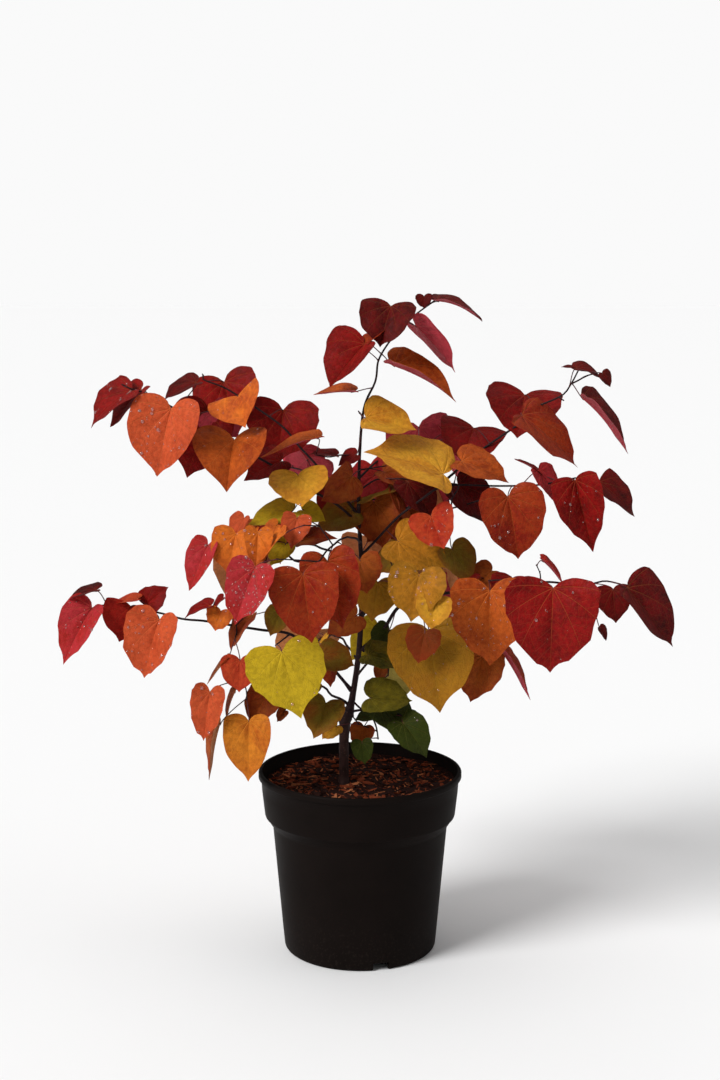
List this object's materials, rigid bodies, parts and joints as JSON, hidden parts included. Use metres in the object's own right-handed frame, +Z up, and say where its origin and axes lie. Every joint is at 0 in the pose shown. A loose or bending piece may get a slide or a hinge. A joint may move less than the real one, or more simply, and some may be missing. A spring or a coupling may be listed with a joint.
{
  "type": "potted redbud tree",
  "caption": "Young redbud tree with large heart-shaped autumn leaves on thin spreading boughs, standing in a plain tapered pot of potting mix.",
  "frame": {"origin": "centre of the flat pad in the middle of the pot's underside, level with the foot of its skirt", "axes": "+Z up along the pot's axis, -Y towards the front of the plant as pictured, +X to the right seen from the front"},
  "size_m": [0.7218, 0.4078, 0.7767],
  "materials": {
    "pot_plastic": "matte",
    "potting_mix": "matte",
    "bark": "matte",
    "young_bark": "satin",
    "leaf_wine": "satin",
    "leaf_crimson": "satin",
    "leaf_orange": "satin",
    "leaf_gold": "satin",
    "leaf_lime": "satin",
    "leaf_green": "satin",
    "dew": "gloss"
  },
  "bodies": {
    "root": {"pot": "pot_plastic", "potting_mix": "potting_mix", "trunk": "bark", "bough_left_low": "young_bark", "bough_left_droop": "young_bark", "bough_left_mid": "young_bark", "bough_left_upper": "young_bark", "bough_left_high": "young_bark", "bough_front_left": "young_bark", "bough_front_right": "young_bark", "bough_right_lowest": "young_bark", "bough_right_low": "young_bark", "bough_right_upper": "young_bark", "bough_right_mid": "young_bark", "bough_back_left_high": "young_bark", "bough_back_right_high": "young_bark", "bough_back_left_mid": "young_bark", "bough_back_centre": "young_bark", "bough_back_right_mid": "young_bark", "bough_back_left_low": "young_bark", "bough_back_right_low": "young_bark", "leaves_tip": "leaf_wine", "leaves_top_left": "leaf_wine", "leaves_top_right": "leaf_crimson", "leaves_gold": "leaf_gold", "leaves_left_far": "leaf_orange", "leaves_left_upper": "leaf_crimson", "leaves_left_inner": "leaf_wine", "leaves_right_far": "leaf_wine", "leaves_right_upper": "leaf_crimson", "leaves_right_inner": "leaf_wine", "leaves_right_mid": "leaf_orange", "leaves_right_outer": "leaf_crimson", "leaves_centre_upper": "leaf_wine", "leaves_left_mid": "leaf_orange", "leaves_front_left": "leaf_orange", "leaves_centre_low": "leaf_gold", "leaves_front_right": "leaf_gold", "leaves_right_low": "leaf_orange", "leaves_right_lower": "leaf_crimson", "leaves_right_tip": "leaf_wine", "leaves_left_low": "leaf_orange", "leaves_left_lower": "leaf_orange", "leaves_left_tip": "leaf_crimson", "leaves_lime": "leaf_lime", "leaves_left_droop": "leaf_orange", "leaves_low_left": "leaf_lime", "leaves_low_right": "leaf_green", "leaves_back_left_high": "leaf_orange", "leaves_back_right_high": "leaf_crimson", "leaves_back_left_mid": "leaf_orange", "leaves_back_centre": "leaf_gold", "leaves_back_right_mid": "leaf_orange", "leaves_back_left_low": "leaf_lime", "leaves_back_right_low": "leaf_lime"}
  },
  "joints": []
}
